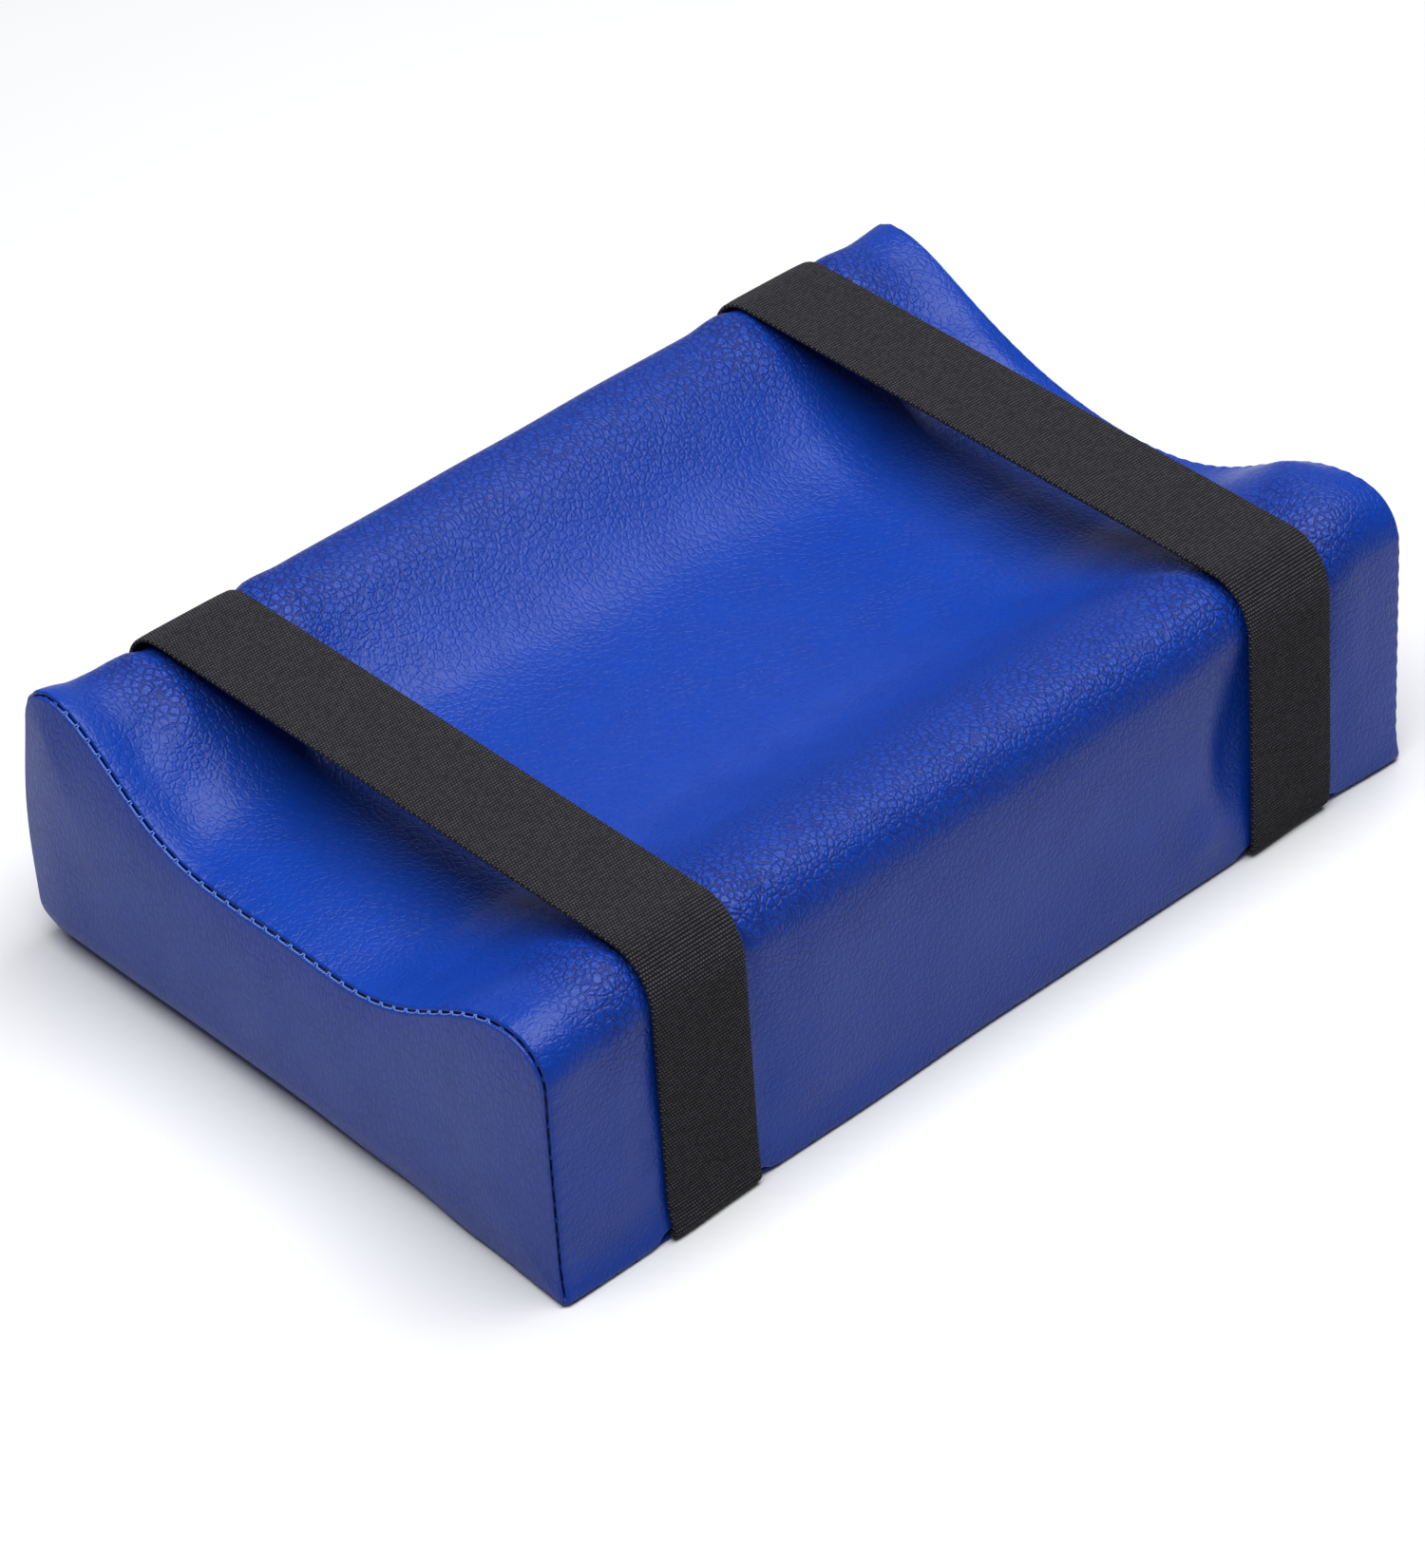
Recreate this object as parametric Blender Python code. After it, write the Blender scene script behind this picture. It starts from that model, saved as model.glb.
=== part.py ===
"""Padded arm rest: a foam block in a sewn leatherette cover, with two elastic straps across its trough.

The block lies on its base panel. +X runs along its length, +Z points up, and the origin is the centre of
the underside. All sizes are in metres. Blender 4.5.
"""

import math

import bmesh
import bpy
from mathutils import Vector

# The outside of the cover
LENGTH = 0.300
WIDTH = 0.192
RIDGE_HEIGHT = 0.0785
TROUGH_DEPTH = 0.024
RIDGE_INSET = 0.0185
SHOULDER_RADIUS = 0.014

# Sheet materials and thread
LEATHERETTE = 0.0010
WEBBING_WIDTH = 0.030
WEBBING_THICKNESS = 0.0015
THREAD = 0.0004

# How far each strap's middle is from the end of the block beside it, and how much of it is turned in
LEFT_STRAP_INSET = 0.049
RIGHT_STRAP_INSET = 0.044
STRAP_TAIL = 0.012

# Seams: the open groove between two sewn edges, and the thread across it
SEAM_GROOVE = LEATHERETTE + 0.0010
SEAM_ALLOWANCE_BEVEL = 0.0010
STITCH_PITCH = 0.0045
BASE_STITCH_PITCH = 0.0060
STITCH_END_CLEARANCE = 0.00055
SEAM_END_MARGIN = 0.005
BASE_CORNER_RADIUS = 0.004

# Gap left between pieces that touch
TOUCH_GAP = 0.0003

# How finely the curves are divided
TROUGH_SEGMENTS = 24
SHOULDER_SEGMENTS = 5
CORNER_SEGMENTS = 4
STRAIGHT_TOLERANCE = 0.01

# Levels and places that follow from the sizes above
LEFT_STRAP_X = LEFT_STRAP_INSET - LENGTH / 2
RIGHT_STRAP_X = LENGTH / 2 - RIGHT_STRAP_INSET
CREST_Y = WIDTH / 2 - RIDGE_INSET
FOAM_DEPTH = LEATHERETTE + TOUCH_GAP
FOAM_END_X = LENGTH / 2 - FOAM_DEPTH
COVER_END_X = LENGTH / 2 - SEAM_GROOVE
TAIL_FLOOR = LEATHERETTE + TOUCH_GAP
TAIL_POCKET_TOP = TAIL_FLOOR + WEBBING_THICKNESS + TOUCH_GAP
STRAP_DEPTH = -(TOUCH_GAP + WEBBING_THICKNESS / 2)
STRAP_TOP = RIDGE_HEIGHT + TOUCH_GAP + WEBBING_THICKNESS

BLUE = (0.035, 0.115, 0.480)
FOAM_YELLOW = (0.830, 0.780, 0.600)
CHARCOAL = (0.040, 0.042, 0.047)
THREAD_BLUE = (0.220, 0.330, 0.700)


def clear_scene():
    for old in list(bpy.data.objects):
        bpy.data.objects.remove(old)


def material(name, colour, roughness, metallic=0.0):
    made = bpy.data.materials.new(name)
    made.use_nodes = True
    shader = made.node_tree.nodes["Principled BSDF"]
    shader.inputs["Base Color"].default_value = (*colour, 1.0)
    shader.inputs["Roughness"].default_value = roughness
    shader.inputs["Metallic"].default_value = metallic
    return made


# The cross-section, in the Y-Z plane


def shoulder_end_angle():
    """The angle at which the shoulder's arc runs into the straight front or rear face."""
    down = RIDGE_HEIGHT - SHOULDER_RADIUS
    to_base_edge = math.hypot(RIDGE_INSET, down)
    return math.atan2(-down, RIDGE_INSET) + math.acos(SHOULDER_RADIUS / to_base_edge)


def face_y(depth, z):
    """Half the width at height z of the outside moved inwards by a depth, on its straight faces."""
    lean = shoulder_end_angle()
    return WIDTH / 2 - (depth + z * math.sin(lean)) / math.cos(lean)


def trough_point(y):
    """A point of the trough, between the two crests, and the direction out of the surface there."""
    turn = math.pi / 2 * y / CREST_Y
    z = RIDGE_HEIGHT - TROUGH_DEPTH * (1 - math.sin(turn) ** 4)
    slope = TROUGH_DEPTH * 4 * math.sin(turn) ** 3 * math.cos(turn) * math.pi / 2 / CREST_Y
    return Vector((y, z)), Vector((-slope, 1)).normalized()


def shoulder_points(side):
    """Points down the outer shoulder of one ridge, from just past the crest to the straight face."""
    centre = Vector((side * CREST_Y, RIDGE_HEIGHT - SHOULDER_RADIUS))
    last = shoulder_end_angle()
    points = []
    for step in range(1, SHOULDER_SEGMENTS + 1):
        angle = math.pi / 2 + (last - math.pi / 2) * step / SHOULDER_SEGMENTS
        out = Vector((side * math.cos(angle), math.sin(angle)))
        points.append((centre + out * SHOULDER_RADIUS, out))
    return points


def profile():
    """(point, outward direction) pairs over the top, from the front shoulder to the rear shoulder."""
    trough = [
        trough_point(CREST_Y * (2 * step / TROUGH_SEGMENTS - 1))
        for step in range(TROUGH_SEGMENTS + 1)
    ]
    return shoulder_points(-1)[::-1] + trough + shoulder_points(1)


def open_section(depth, floor):
    """The outside moved inwards by a depth, as an open line whose two ends stand at height floor."""
    over = [point - out * depth for point, out in profile()]
    half = face_y(depth, floor)
    return [Vector((-half, floor))] + over + [Vector((half, floor))]


def foam_section(depth, floor):
    """A closed section with its two bottom corners cut off to make room for the seam allowances."""
    line = open_section(depth, floor + SEAM_ALLOWANCE_BEVEL)
    half = line[-1].x - SEAM_ALLOWANCE_BEVEL
    return line + [Vector((half, floor)), Vector((-half, floor))]


def base_outline():
    """(point, direction out) pairs round the base panel's edge, in the X-Y plane, as a closed loop."""
    radius = BASE_CORNER_RADIUS
    corner_x = COVER_END_X - radius
    corner_y = face_y(SEAM_GROOVE, 0) - radius
    outline = []
    for quarter, (sx, sy) in enumerate(((1, 1), (-1, 1), (-1, -1), (1, -1))):
        for step in range(CORNER_SEGMENTS + 1):
            angle = math.pi / 2 * (quarter + step / CORNER_SEGMENTS)
            out = Vector((math.cos(angle), math.sin(angle)))
            outline.append((Vector((sx * corner_x, sy * corner_y)) + out * radius, out))
    return outline + outline[:1]


# Solids


def add_object(name, mesh_data, finish):
    bmesh.ops.recalc_face_normals(mesh_data, faces=mesh_data.faces)
    mesh = bpy.data.meshes.new(name)
    mesh_data.to_mesh(mesh)
    mesh_data.free()
    made = bpy.data.objects.new(name, mesh)
    if finish:
        made.data.materials.append(finish)
    bpy.context.scene.collection.objects.link(made)
    return made


def loft(name, rings, finish):
    """A closed body through rings that all have the same number of points."""
    body = bmesh.new()
    loops = [[body.verts.new(point) for point in ring] for ring in rings]
    count = len(rings[0])
    for low, high in zip(loops, loops[1:]):
        for i in range(count):
            j = (i + 1) % count
            body.faces.new((low[i], low[j], high[j], high[i]))
    body.faces.new(loops[0])
    body.faces.new(loops[-1])
    return add_object(name, body, finish)


def across(outline, x):
    """A Y-Z outline placed at x."""
    return [Vector((x, point.x, point.y)) for point in outline]


def add_box(body, low, high):
    corners = bmesh.ops.create_cube(body, size=1.0)["verts"]
    size = Vector(high) - Vector(low)
    bmesh.ops.scale(body, vec=size, verts=corners)
    bmesh.ops.translate(body, vec=(Vector(low) + Vector(high)) / 2, verts=corners)


def soften_shading(piece, angle=math.radians(30)):
    piece.data.shade_smooth()
    piece.data.set_sharp_from_angle(angle=angle)


def cut_with(piece, cutter):
    cut = piece.modifiers.new("Tail pockets", "BOOLEAN")
    cut.operation = "DIFFERENCE"
    cut.solver = "EXACT"
    cut.object = cutter


# The pieces


def tail_pocket_cutter():
    """One block round each strap tail, where it turns in between the cover's hem and the base panel."""
    blocks = bmesh.new()
    half = WEBBING_WIDTH / 2 + TOUCH_GAP
    inner = face_y(0, 0) - STRAP_TAIL - TOUCH_GAP
    outer = WIDTH / 2 + WEBBING_WIDTH
    for centre in (LEFT_STRAP_X, RIGHT_STRAP_X):
        for side in (-1, 1):
            ends = sorted((side * inner, side * outer))
            low = (centre - half, ends[0], -WEBBING_WIDTH)
            high = (centre + half, ends[1], TAIL_POCKET_TOP)
            add_box(blocks, low, high)
    cutter = add_object("tail_pocket_cutter", blocks, None)
    cutter.hide_render = True
    cutter.display_type = "WIRE"
    return cutter


def foam_core(cutter, finish):
    """The foam block, bevelled at both ends so that the end seams' allowances fit over it."""
    bevel = SEAM_ALLOWANCE_BEVEL
    small = foam_section(FOAM_DEPTH + bevel, TAIL_FLOOR + bevel)
    full = foam_section(FOAM_DEPTH, TAIL_FLOOR)
    rings = [
        across(small, -FOAM_END_X),
        across(full, bevel - FOAM_END_X),
        across(full, FOAM_END_X - bevel),
        across(small, FOAM_END_X),
    ]
    foam = loft("foam_core", rings, finish)
    cut_with(foam, cutter)
    soften_shading(foam)


def cover_wrap(cutter, finish):
    """One panel from the front hem, over both ridges and the trough, to the rear hem."""
    outside = open_section(0, SEAM_GROOVE)
    inside = open_section(LEATHERETTE, SEAM_GROOVE)
    outline = outside + inside[::-1]
    cover = loft("cover_wrap", [across(outline, -COVER_END_X), across(outline, COVER_END_X)], finish)
    cut_with(cover, cutter)
    soften_shading(cover)


def end_panel(name, side, finish):
    """The flat end, cut to the section and let in by the width of the seam."""
    outline = open_section(SEAM_GROOVE, SEAM_GROOVE)
    inner = side * (LENGTH / 2 - LEATHERETTE)
    panel = loft(name, [across(outline, inner), across(outline, side * LENGTH / 2)], finish)
    soften_shading(panel)


def base_panel(finish):
    """The flat underside, with rounded corners."""
    outline = [point for point, out in base_outline()[:-1]]
    rings = [[Vector((point.x, point.y, z)) for point in outline] for z in (0, LEATHERETTE)]
    soften_shading(loft("base_panel", rings, finish))


def leg_centreline(side):
    """The middle of the webbing from a crest, down the outside of the face and in under the hem."""
    over = [trough_point(side * CREST_Y)] + shoulder_points(side)
    crest = [point - out * STRAP_DEPTH for point, out in over]
    tail_z = TAIL_FLOOR + WEBBING_THICKNESS / 2
    fold = Vector((side * face_y(STRAP_DEPTH, tail_z), tail_z))
    tail_end = Vector((side * (face_y(0, 0) - STRAP_TAIL), tail_z))
    return crest + [fold, tail_end]


def thicken(line, thickness):
    """A closed outline of even thickness round an open line, mitred at its bends."""
    left, right = [], []
    for i, point in enumerate(line):
        before = (point - line[i - 1]).normalized() if i else (line[1] - point).normalized()
        after = (line[i + 1] - point).normalized() if i + 1 < len(line) else before
        normal = Vector((-before.y - after.y, before.x + after.x)).normalized()
        reach = thickness / 2 / normal.dot(Vector((-before.y, before.x)))
        left.append(point + normal * reach)
        right.append(point - normal * reach)
    return left + right[::-1]


def strap(name, centre, finish):
    """One length of webbing in three stretches: two legs held down by the seams, and the span."""
    low, high = centre - WEBBING_WIDTH / 2, centre + WEBBING_WIDTH / 2
    for leg, side in (("front_leg", -1), ("rear_leg", 1)):
        outline = thicken(leg_centreline(side), WEBBING_THICKNESS)
        soften_shading(loft(f"{name}_{leg}", [across(outline, low), across(outline, high)], finish))
    span = bmesh.new()
    reach = CREST_Y - TOUCH_GAP
    add_box(span, (low, -reach, STRAP_TOP - WEBBING_THICKNESS), (high, reach, STRAP_TOP))
    add_object(f"{name}_span", span, finish)


# Stitching


def thread(name, path, closed, finish):
    """One square thread through (point, direction out of the zigzag) pairs, mitred at each turn."""
    body = bmesh.new()
    count = len(path)
    half = THREAD / 2
    rings = []
    for i, (point, out) in enumerate(path):
        first = i == 0 and not closed
        last = i == count - 1 and not closed
        after = path[(i + 1) % count][0] - point
        before = after if first else point - path[i - 1][0]
        if last:
            after = before
        side = before.cross(out).normalized()
        mitre = (side + after.cross(out).normalized()).normalized()
        reach = mitre * half / mitre.dot(side)
        corners = (reach + out * half, reach - out * half, -reach - out * half, -reach + out * half)
        rings.append([body.verts.new(point + corner) for corner in corners])
    for i in range(count if closed else count - 1):
        near, far = rings[i], rings[(i + 1) % count]
        for k in range(4):
            body.faces.new((near[k], near[(k + 1) % 4], far[(k + 1) % 4], far[k]))
    if not closed:
        body.faces.new(rings[0])
        body.faces.new(rings[-1])
    add_object(name, body, finish)


def across_groove(first_edge, second_edge, to_second):
    """A point of the zigzag near one sewn edge or the other, clear of both."""
    run = (second_edge - first_edge).normalized() * STITCH_END_CLEARANCE
    return second_edge - run if to_second else first_edge + run


def stations(pairs, pitch, margin):
    """Evenly spaced (point, direction out) pairs along a line of such pairs."""
    lengths = [(b[0] - a[0]).length for a, b in zip(pairs, pairs[1:])]
    total = sum(lengths) - 2 * margin
    count = int(total / pitch) + 1
    found = []
    for i in range(count):
        rest = margin + total * i / (count - 1)
        piece = 0
        while rest > lengths[piece] and piece < len(lengths) - 1:
            rest -= lengths[piece]
            piece += 1
        (p, n), (q, m) = pairs[piece], pairs[piece + 1]
        share = rest / lengths[piece]
        found.append((p.lerp(q, share), n.lerp(m, share).normalized()))
    return found


def end_thread(name, side, finish):
    """Thread across the groove between the cover's end edge and an end panel, up, over and down."""
    half = face_y(0, SEAM_GROOVE)
    lean = shoulder_end_angle()
    front = (Vector((-half, SEAM_GROOVE)), Vector((-math.cos(lean), math.sin(lean))))
    rear = (Vector((half, SEAM_GROOVE)), Vector((math.cos(lean), math.sin(lean))))
    line = stations([front] + profile() + [rear], STITCH_PITCH / 2, SEAM_END_MARGIN)
    path = []
    for i, (point, out) in enumerate(line):
        on_cover = point - out * LEATHERETTE / 2
        on_panel = point - out * SEAM_GROOVE
        cover_edge = Vector((side * COVER_END_X, on_cover.x, on_cover.y))
        panel_edge = Vector((side * (LENGTH / 2 - LEATHERETTE / 2), on_panel.x, on_panel.y))
        outward = Vector((side, out.x, out.y)).normalized()
        path.append((across_groove(cover_edge, panel_edge, i % 2), outward))
    thread(name, path, False, finish)


def base_thread(finish):
    """Thread across the groove round the base panel, straight under the strap tails and at corners."""
    gap = SEAM_GROOVE - LEATHERETTE / 2
    beside_strap = (WEBBING_WIDTH + STITCH_PITCH) / 2
    under_tail = TAIL_FLOOR / 2
    path = []
    for i, (point, out) in enumerate(stations(base_outline(), BASE_STITCH_PITCH / 2, 0)[:-1]):
        base_edge = Vector((point.x, point.y, LEATHERETTE / 2))
        outward = Vector((out.x, out.y, 0))
        hem_edge = base_edge + (outward + Vector((0, 0, 1))) * gap
        strap_distance = min(abs(point.x - LEFT_STRAP_X), abs(point.x - RIGHT_STRAP_X))
        at_corner = min(abs(out.x), abs(out.y)) > STRAIGHT_TOLERANCE
        if strap_distance < beside_strap or at_corner:
            place = Vector((point.x, point.y, under_tail)) + outward * under_tail
        else:
            place = across_groove(base_edge, hem_edge, i % 2)
        path.append((place, (outward - Vector((0, 0, 1))).normalized()))
    thread("base_thread", path, True, finish)


def build():
    clear_scene()
    cutter = tail_pocket_cutter()
    foam_core(cutter, material("Foam", FOAM_YELLOW, 0.90))
    cover_wrap(cutter, material("Cover leatherette", BLUE, 0.42))
    end_panel("left_end_panel", -1, material("Left end leatherette", BLUE, 0.50))
    end_panel("right_end_panel", 1, material("Right end leatherette", BLUE, 0.50))
    base_panel(material("Base leatherette", BLUE, 0.55))
    strap("left_strap", LEFT_STRAP_X, material("Left webbing", CHARCOAL, 0.80))
    strap("right_strap", RIGHT_STRAP_X, material("Right webbing", CHARCOAL, 0.80))
    end_thread("left_end_thread", -1, material("Left thread", THREAD_BLUE, 0.60))
    end_thread("right_end_thread", 1, material("Right thread", THREAD_BLUE, 0.60))
    base_thread(material("Base thread", THREAD_BLUE, 0.60))


build()
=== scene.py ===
# %% [markdown]
# # A padded arm rest in blue leatherette
# The real thing is a foam block with a shallow trough for the forearm. One panel of leatherette runs from
# the front hem over both ridges to the rear hem, two end panels and a base panel close it, and two black
# elastic straps cross the trough. Their ends are caught in the seams of the base.
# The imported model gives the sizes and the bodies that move, so it is loaded first and never changed.

# %% Load the frame
import math
import bpy
import numpy as np
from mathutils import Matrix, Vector


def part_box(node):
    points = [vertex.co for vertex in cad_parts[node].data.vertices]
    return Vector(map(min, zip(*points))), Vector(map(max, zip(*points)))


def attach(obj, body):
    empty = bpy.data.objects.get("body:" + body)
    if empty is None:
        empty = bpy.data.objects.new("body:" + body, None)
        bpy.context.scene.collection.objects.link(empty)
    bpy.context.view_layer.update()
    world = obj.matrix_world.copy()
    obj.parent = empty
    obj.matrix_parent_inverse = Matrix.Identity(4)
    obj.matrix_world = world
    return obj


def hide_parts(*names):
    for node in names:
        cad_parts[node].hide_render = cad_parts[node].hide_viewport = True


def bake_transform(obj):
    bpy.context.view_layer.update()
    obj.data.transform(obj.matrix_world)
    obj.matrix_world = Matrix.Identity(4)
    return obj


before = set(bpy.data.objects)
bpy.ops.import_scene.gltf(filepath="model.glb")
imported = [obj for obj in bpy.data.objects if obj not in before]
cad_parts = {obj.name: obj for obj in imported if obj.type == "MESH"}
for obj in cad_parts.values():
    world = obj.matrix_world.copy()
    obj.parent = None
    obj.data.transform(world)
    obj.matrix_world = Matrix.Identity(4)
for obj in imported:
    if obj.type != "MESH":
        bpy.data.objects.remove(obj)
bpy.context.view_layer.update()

# %% [markdown]
# ## Sizes
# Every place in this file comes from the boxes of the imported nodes, so the looks stay on the model.
# What the boxes can't say is the sewing itself: how tightly the edges roll in, how thick the sheet is.

# %% Read the sizes that the pieces share
MM = 0.001
end_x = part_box("right_end_panel")[1].x
face_y = -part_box("cover_wrap")[0].y
crest_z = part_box("cover_wrap")[1].z
span_low, span_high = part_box("left_strap_span")
webbing_width = span_high.x - span_low.x
webbing_thickness = span_high.z - span_low.z
front_crest_y, rear_crest_y = -span_low.y, span_high.y
strap_x = [sum(corner.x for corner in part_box(f"{side}_strap_span")) / 2 for side in ("left", "right")]
TROUGH_DEPTH = 24 * MM
SHEET = 0.7 * MM
print(f"crests at y = {-front_crest_y:.4f} and {rear_crest_y:.4f}")
print("straps at x =", [round(middle, 3) for middle in strap_x])

# %% [markdown]
# ## The lips of the seams
# Where two panels are sewn, both edges turn in and leave a narrow groove with a soft lip on each side.
# A lip is drawn once, as pairs that say how far in from the corner it is and how deep under the surface.
# The panel on the other side of the corner uses the same pairs the other way round.

# %% Draw a lip
LIP_RADIUS = 0.7 * MM
SEAM_GAP = 0.35 * MM
TUCK = 2.0 * MM
lip_apart = (2 * LIP_RADIUS + SEAM_GAP) / math.sqrt(2)
lip_start = LIP_RADIUS + lip_apart


def rolled_lip(steps=7):
    """(distance in from the corner, depth) pairs from the surface, round the lip and into the seam."""
    turn = np.radians(np.linspace(0, 135, steps))[:, None]
    roll = [lip_start, LIP_RADIUS] - LIP_RADIUS * np.hstack([np.sin(turn), np.cos(turn)])
    return np.vstack([roll, roll[-1] + TUCK * math.sqrt(0.5)])


print("a seam's corner is cut back by", round(lip_start / MM, 2), "mm")

# %% [markdown]
# ## The cross-section
# A sewn block has one section that is swept along its length, and everything else is a gentle change to
# it. The section is drawn as a dense line and then read off at even steps, so that the sheet's own
# length is known at each point. The grain of the leatherette and the stitches both follow that length.
# The rear ridge is packed fuller than the front one, so its shoulder is tighter and further out.

# %% Draw one even line over the block
SECTION_POINTS = 250
FRONT_SHOULDER = 14 * MM
REAR_SHOULDER = 10.5 * MM
REAR_FULLNESS = 7 * MM


def run_length(line):
    """How far along the line each of its points is."""
    return np.concatenate([[0], np.cumsum(np.linalg.norm(np.diff(line, axis=0), axis=1))])


def even_steps(line, count):
    """The same line at even distances, and the distance of each point from the start."""
    gone = run_length(line)
    steps = np.linspace(0, gone[-1], count)
    return np.stack([np.interp(steps, gone, line[:, k]) for k in range(line.shape[1])], 1), steps


def half_section(crest, radius, hollow):
    """From the bottom of the trough over a ridge and down its face to the lip of the hem."""
    y = np.linspace(0, crest, 300)
    trough = np.stack([y, crest_z - TROUGH_DEPTH * (1 - np.sin(np.pi / 2 * y / crest) ** hollow)], 1)
    middle = np.array([crest, crest_z - radius])
    corner = np.array([face_y, 0])
    down = corner - middle
    lean = math.atan2(down[1], down[0]) + math.acos(radius / math.hypot(*down))
    turn = np.linspace(math.pi / 2, lean, 80)[1:, None]
    shoulder = middle + radius * np.hstack([np.cos(turn), np.sin(turn)])
    hem = corner + (shoulder[-1] - corner) * lip_start / shoulder[-1][1]
    return np.vstack([trough, shoulder, hem])


front_half = half_section(front_crest_y, FRONT_SHOULDER, hollow=4) * [-1, 1]
rear_crest_y += REAR_FULLNESS
rear_half = half_section(rear_crest_y, REAR_SHOULDER, hollow=6)
section, girth = even_steps(np.vstack([front_half[:0:-1], rear_half]), SECTION_POINTS)
y0, z0 = section.T
girth -= np.interp(0, y0, girth)
crest_girth = np.interp([-front_crest_y, rear_crest_y], y0, girth)
over = np.where(y0 < 0, -girth / crest_girth[0], girth / crest_girth[1])
print(f"the sheet is {np.ptp(girth):.4f} m from hem to hem, and the crests are at {crest_girth.round(4)} m")

# %% [markdown]
# ## How foam, cover and straps settle
# Foam under a tight cover isn't straight. The straps press the ridges down, the ridges sag between them,
# and the seams pull the corners up into small ears. Each is one smooth change along the block, given in
# millimetres at a few places.

# %% Helpers for smooth changes
def smooth(t):
    t = np.clip(t, 0, 1)
    return t * t * (3 - 2 * t)


def along(x, stops):
    """A value that passes smoothly through (place in mm, value in mm) stops."""
    places, values = np.array(stops, float).T * MM
    x = np.clip(x, places[0], places[-1])
    i = np.clip(np.searchsorted(places, x) - 1, 0, len(places) - 2)
    return values[i] + (values[i + 1] - values[i]) * smooth((x - places[i]) / (places[i + 1] - places[i]))


def band(x, middle, half_width, edge):
    """1 within half_width of middle, falling smoothly to 0 over edge."""
    return 1 - smooth((np.abs(x - middle) - half_width) / edge)


# %% Say how high each ridge stands along the block
REAR_RIDGE = [(-150, 2.2), (-136, -1.2), (-116, -2.0), (-86, 1.4), (-40, 0.8), (0, 0.8), (72, 1.0),
              (116, 1.0), (136, 1.2), (150, 2.6)]
REAR_SPREAD = [(-150, 1.0), (-116, 0.0), (-86, 0.3), (0, 1.6), (72, 3.0), (100, 4.2), (150, 4.0)]
FRONT_RIDGE = [(-150, -5.0), (-136, -3.6), (-116, -1.4), (-86, -1.2), (-60, -0.6), (0, -1.4), (60, -0.8),
               (91, -0.8), (121, -0.2), (136, 3.0), (150, 2.2)]
TROUGH_FLOOR = [(-150, -0.4), (-110, 0.6), (0, 0.0), (110, 0.8), (150, 1.2)]
TROUGH_SIDES = [(-150, -0.9), (-110, 0.0), (100, 0.0), (150, 3.2)]
REAR_BELLY = [(-150, 2.6), (-110, 0.6), (-80, 0.0), (150, 0.0)]

across_trough = np.clip(np.abs(over), 0, 1)
down_face = np.where(np.abs(over) > 1, z0 / crest_z, 1)
on_ridge = np.sin(np.pi / 2 * across_trough) ** 2 * down_face
on_floor = np.cos(np.pi / 2 * across_trough) ** 2
on_sides = np.sin(np.pi * across_trough) ** 2
on_belly = np.where(over > 1, np.sin(np.pi * down_face) ** 2, 0)


def settled(x):
    """How far each point of the section at x has moved, across and up."""
    ridge = np.where(y0 > 0, along(x, REAR_RIDGE), along(x, FRONT_RIDGE))
    spread = np.where(y0 > 0, along(x, REAR_SPREAD) * np.sin(np.pi / 2 * across_trough) ** 4 * down_face, 0)
    up = on_ridge * ridge + on_floor * along(x, TROUGH_FLOOR) + on_sides * along(x, TROUGH_SIDES)
    return np.stack([spread + on_belly * along(x, REAR_BELLY), up], 1)


# %% [markdown]
# ## Hollows, folds and the grip of the straps
# A loose sheet can only be pushed in or out. A hollow is a round dent, a fold is a dent along a line, and
# both are placed on the flat sheet: how far along the block, and how far over it from the middle of the
# trough. The straps press a flat band with a small swelling on either side.

# %% Push the sheet in and out
def dent(x, at, reach, depth):
    """A round hollow, with its place and reach along and over the sheet in mm."""
    along_x = (x / MM - at[0]) / reach[0]
    along_girth = (girth / MM - at[1]) / reach[1]
    return -depth * MM * np.exp(-(along_x ** 2) - along_girth ** 2)


def fold(x, first, last, width, depth):
    """A long hollow between two places on the sheet in mm, which fades at both of its ends."""
    run = np.subtract(last, first).astype(float)
    length = math.hypot(*run)
    run /= length
    away = np.stack([x / MM - first[0] + 0 * girth, girth / MM - first[1]], 1)
    gone = away @ run / length
    off = away @ [-run[1], run[0]]
    fade = smooth(gone / 0.3 + 0.3) * smooth((1 - gone) / 0.5 + 0.2)
    return -depth * MM * fade * np.exp(-((off / width) ** 2))


DENTS = [
    ((87, -130), (8, 26), 4.6),
    ((80, -155), (12, 10), -1.2),
    ((-82, -130), (5, 24), 1.2),
    ((-66, -135), (12, 26), -0.8),
    ((-121, -130), (5, 26), 0.8),
    ((20, -138), (60, 24), 0.8),
    ((125, -126), (5, 24), 0.8),
    ((-150, -98), (14, 14), -1.0),
    ((-150, 135), (40, 34), -2.2),
    ((20, 135), (90, 34), -1.2),
    ((-84, 128), (8, 22), 2.0),
    ((88, 128), (8, 22), 2.0),
    ((142, -62), (17, 17), -3.6),
    ((150, 44), (18, 18), -3.2),
]
FOLDS = [
    ((-120, 70), (-146, 30), 7, 0.7),
    ((-118, 84), (-140, 66), 5, 0.8),
    ((-84, 72), (-58, 40), 8, 0.6),
    ((-84, -72), (-52, -50), 8, 0.5),
    ((-118, -74), (-144, -50), 6, 0.6),
    ((88, 74), (58, 44), 9, 0.6),
    ((88, -70), (62, -42), 8, 0.7),
    ((124, -72), (146, -46), 5, 0.8),
    ((124, 74), (146, 52), 5, 0.8),
]


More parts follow.
